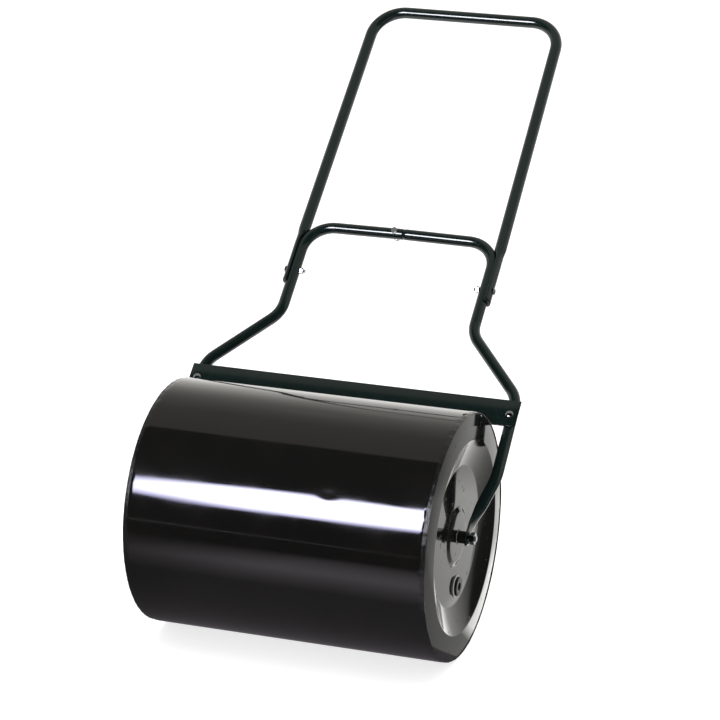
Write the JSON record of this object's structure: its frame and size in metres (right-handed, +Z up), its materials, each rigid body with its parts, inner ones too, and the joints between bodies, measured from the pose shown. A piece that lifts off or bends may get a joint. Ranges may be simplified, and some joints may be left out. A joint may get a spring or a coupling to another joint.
{
  "type": "lawn roller",
  "caption": "Lawn roller: a water-filled steel drum with dished end plates and a screw filler plug, turning in a bent-tube pulling frame with a scraper bar and a U-shaped handle.",
  "frame": {"origin": "on the ground under the middle of the drum, at the centre of the drum's lowest facet", "axes": "+X along the axle towards the filler plug's end, +Y horizontally towards the handle, +Z up"},
  "size_m": [0.572, 0.9916, 0.8658],
  "materials": {
    "drum_paint": "gloss",
    "frame_paint": "gloss",
    "zinc": "satin",
    "bare_steel": "satin",
    "black_plastic": "satin",
    "nylon": "matte",
    "grey_rubber": "matte"
  },
  "bodies": {
    "frame": {"lower_tube_left": "frame_paint", "lower_tube_right": "frame_paint", "upper_handle": "frame_paint", "handle_cap_left": "black_plastic", "handle_cap_right": "black_plastic", "scraper_bar": "frame_paint", "scraper_bolt_left": "zinc", "scraper_bolt_right": "zinc", "scraper_nut_left": "zinc", "scraper_nut_right": "zinc", "joint_bolt": "zinc", "joint_nut": "zinc", "handle_bolt_left": "zinc", "handle_bolt_right": "zinc", "handle_nut_left": "zinc", "handle_nut_right": "zinc", "axle_rod": "zinc", "axle_spacer_left": "black_plastic", "axle_spacer_right": "black_plastic", "axle_washer_left": "zinc", "axle_washer_right": "zinc", "axle_nut_left": "zinc", "axle_nut_right": "zinc"},
    "drum": {"drum_shell": "drum_paint", "end_plate_left": "drum_paint", "end_plate_right": "drum_paint", "axle_pipe": "bare_steel", "axle_bush_left": "nylon", "axle_bush_right": "nylon", "filler_neck": "bare_steel"},
    "gasket": {"plug_gasket": "grey_rubber"},
    "plug": {"filler_plug": "black_plastic"}
  },
  "joints": [
    {"name": "drum_spin", "type": "hinge", "parent": "frame", "child": "drum", "pos_m": [0, 0, 0.2], "axis": [1, 0, 0], "continuous": true},
    {"name": "plug_out", "type": "slide", "parent": "drum", "child": "gasket", "axis": [1, 0, 0], "range_m": [0, 0.01401]},
    {"name": "plug_turn", "type": "hinge", "parent": "gasket", "child": "plug", "pos_m": [0.24, 0, 0.115], "axis": [1, 0, 0], "range_deg": [0, 1440]}
  ],
  "couplings": [
    {"joint": "plug_out", "follows": "plug_turn", "m_per_rad": 0.00055704}
  ]
}
